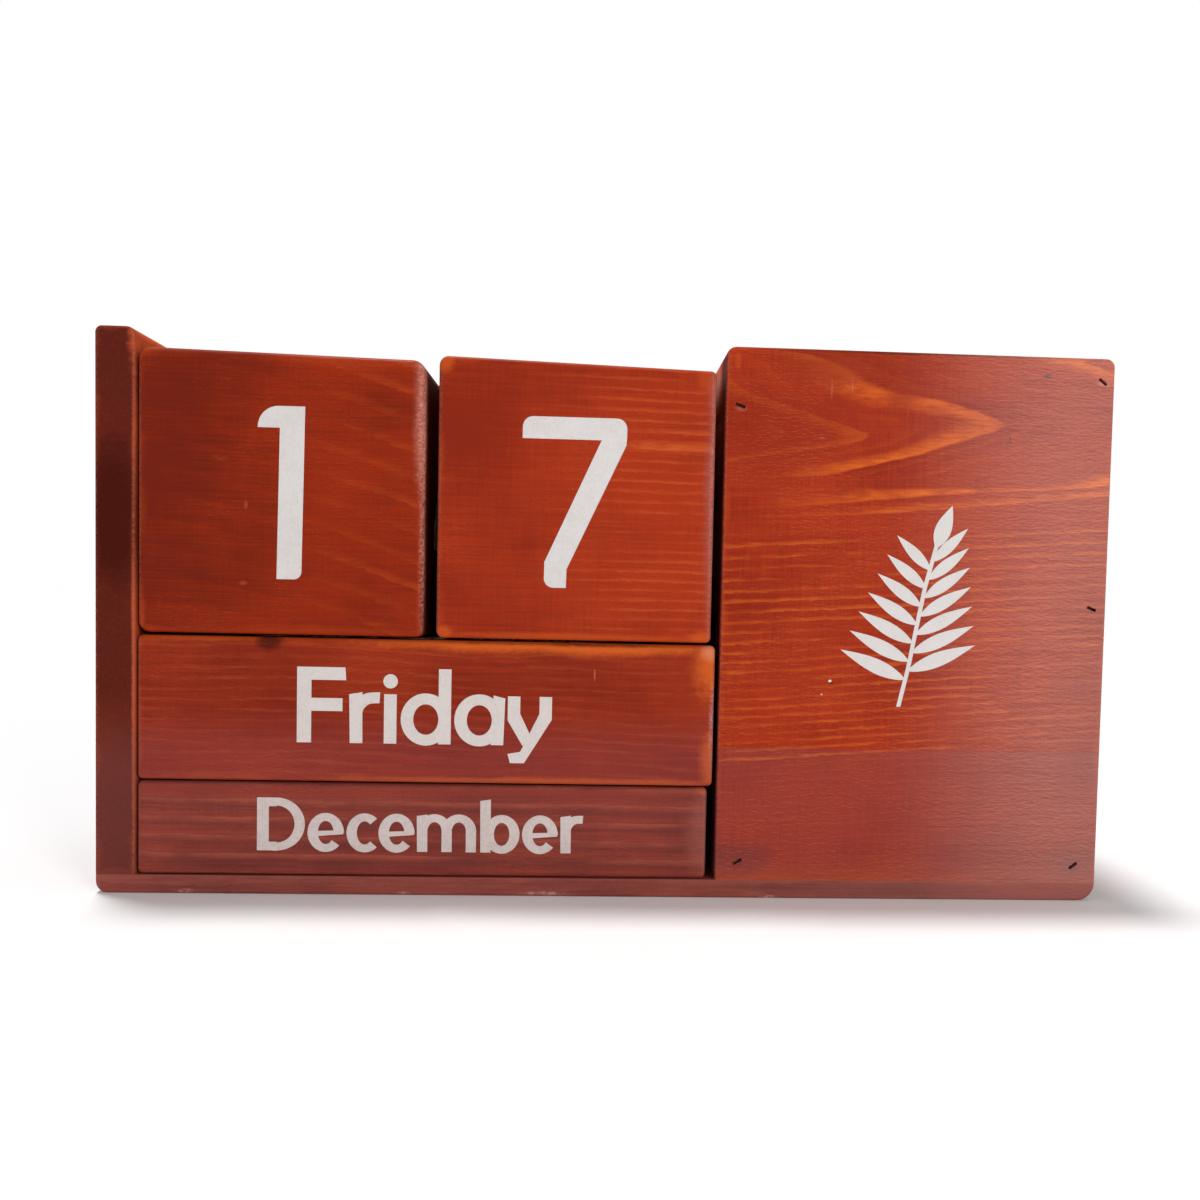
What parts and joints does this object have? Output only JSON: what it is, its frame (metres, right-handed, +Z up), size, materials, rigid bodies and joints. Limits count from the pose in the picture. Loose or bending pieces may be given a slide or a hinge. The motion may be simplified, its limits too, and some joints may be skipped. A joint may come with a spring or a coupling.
{
  "type": "perpetual desk calendar",
  "caption": "Wooden perpetual desk calendar: number cubes and turning day and month bars in an open bay beside a pen box.",
  "frame": {"origin": "centre of the underside, on the surface the calendar stands on", "axes": "+X to the right as seen from the front, +Y to the back, +Z up"},
  "size_m": [0.1846, 0.0566, 0.1015],
  "materials": {
    "stained_board": "pine boards in a red-brown stain under gloss varnish",
    "stained_block": "pine blocks in a red-brown stain, sanded edges, satin varnish",
    "brad_steel": "dull steel dulled by stain",
    "white_lettering": "matt off-white lettering"
  },
  "bodies": {
    "stand": {"base_board": "stained_board", "left_wall": "stained_board", "back_board": "stained_board", "box_left_wall": "stained_board", "box_right_wall": "stained_board", "box_front_panel": "stained_board", "panel_brads_left": "brad_steel", "panel_brads_right": "brad_steel", "back_brads_left": "brad_steel", "back_brads_middle": "brad_steel", "back_brads_right": "brad_steel", "base_brads_left": "brad_steel", "base_brads_middle": "brad_steel", "base_brads_right": "brad_steel", "base_brads_front": "brad_steel"},
    "cube_left": {"number_cube_left": "stained_block"},
    "cube_right": {"number_cube_right": "stained_block"},
    "day_front": {"day_bar_front": "stained_block"},
    "day_rear": {"day_bar_rear": "stained_block"},
    "month_front": {"month_bar_front": "stained_block"},
    "month_middle": {"month_bar_middle": "stained_block"},
    "month_rear": {"month_bar_rear": "stained_block"}
  },
  "joints": [
    {"name": "cube_left_lift", "type": "slide", "parent": "stand", "child": "cube_left", "axis": [0, 0, 1], "range_m": [0, 0.06]},
    {"name": "cube_right_lift", "type": "slide", "parent": "stand", "child": "cube_right", "axis": [0, 0, 1], "range_m": [0, 0.06]},
    {"name": "day_rear_pull", "type": "slide", "parent": "stand", "child": "day_rear", "axis": [0, -1, 0], "range_m": [0, 0.055]},
    {"name": "day_front_pull", "type": "slide", "parent": "day_rear", "child": "day_front", "axis": [0, -1, 0], "range_m": [0, 0.03]},
    {"name": "month_rear_pull", "type": "slide", "parent": "stand", "child": "month_rear", "axis": [0, -1, 0], "range_m": [0, 0.055]},
    {"name": "month_middle_pull", "type": "slide", "parent": "month_rear", "child": "month_middle", "axis": [0, -1, 0], "range_m": [0, 0.037]},
    {"name": "month_front_pull", "type": "slide", "parent": "month_middle", "child": "month_front", "axis": [0, -1, 0], "range_m": [0, 0.02]}
  ]
}
